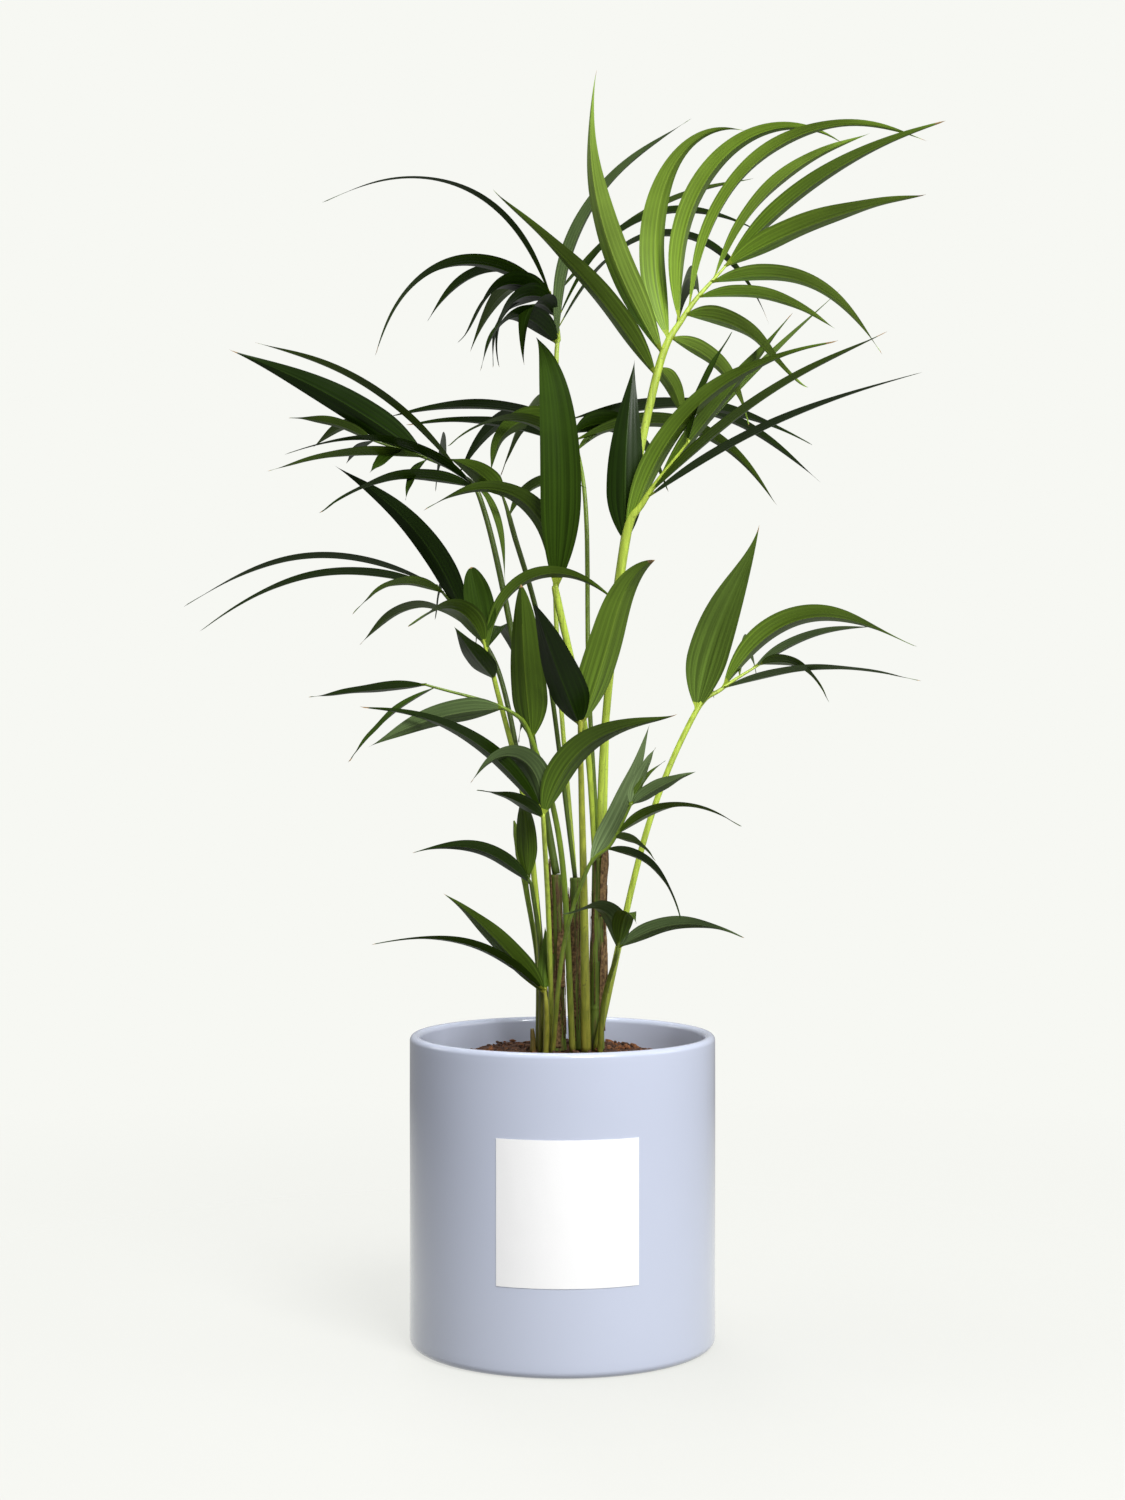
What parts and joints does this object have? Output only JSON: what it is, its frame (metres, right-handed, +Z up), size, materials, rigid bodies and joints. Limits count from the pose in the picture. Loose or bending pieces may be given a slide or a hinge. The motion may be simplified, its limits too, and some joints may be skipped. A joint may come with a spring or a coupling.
{
  "type": "potted kentia palm",
  "caption": "Tall indoor palm with arching feather fronds on thin green stalks, growing from a round glazed pot.",
  "frame": {"origin": "middle of the pot's flat underside", "axes": "+X to the right as seen from the front, +Y away from the front, +Z up; the label faces -Y"},
  "size_m": [0.6223, 0.4409, 1.0082],
  "materials": {
    "pot_glaze": "gloss",
    "soil": "rough",
    "label_paper": "matt",
    "cane": "satin",
    "stalk": "satin",
    "leaf": "satin"
  },
  "bodies": {
    "root": {"pot": "pot_glaze", "soil": "soil", "label": "label_paper", "stem_1": "cane", "stem_2": "cane", "stem_3": "cane", "spear": "stalk", "stub": "stalk", "stalk_upper_right": "stalk", "stalk_mid_right": "stalk", "stalk_middle": "stalk", "stalk_upper_left": "stalk", "stalk_left_arch": "stalk", "stalk_top_left": "stalk", "stalk_rear": "stalk", "stalk_front": "stalk", "stalk_front_left": "stalk", "stalk_low_front": "stalk", "stalk_low_left": "stalk", "stalk_mid_left": "stalk", "stalk_far_left": "stalk", "stalk_low_right": "stalk", "stalk_far_right": "stalk", "stalk_bottom_right": "stalk", "stalk_bottom_left": "stalk", "frond_upper_right": "leaf", "frond_mid_right": "leaf", "frond_middle": "leaf", "frond_upper_left": "leaf", "frond_left_arch": "leaf", "frond_top_left": "leaf", "frond_rear": "leaf", "frond_front": "leaf", "frond_front_left": "leaf", "frond_low_front": "leaf", "frond_low_left": "leaf", "frond_mid_left": "leaf", "frond_far_left": "leaf", "frond_low_right": "leaf", "frond_far_right": "leaf", "frond_bottom_right": "leaf", "frond_bottom_left": "leaf"}
  },
  "joints": []
}
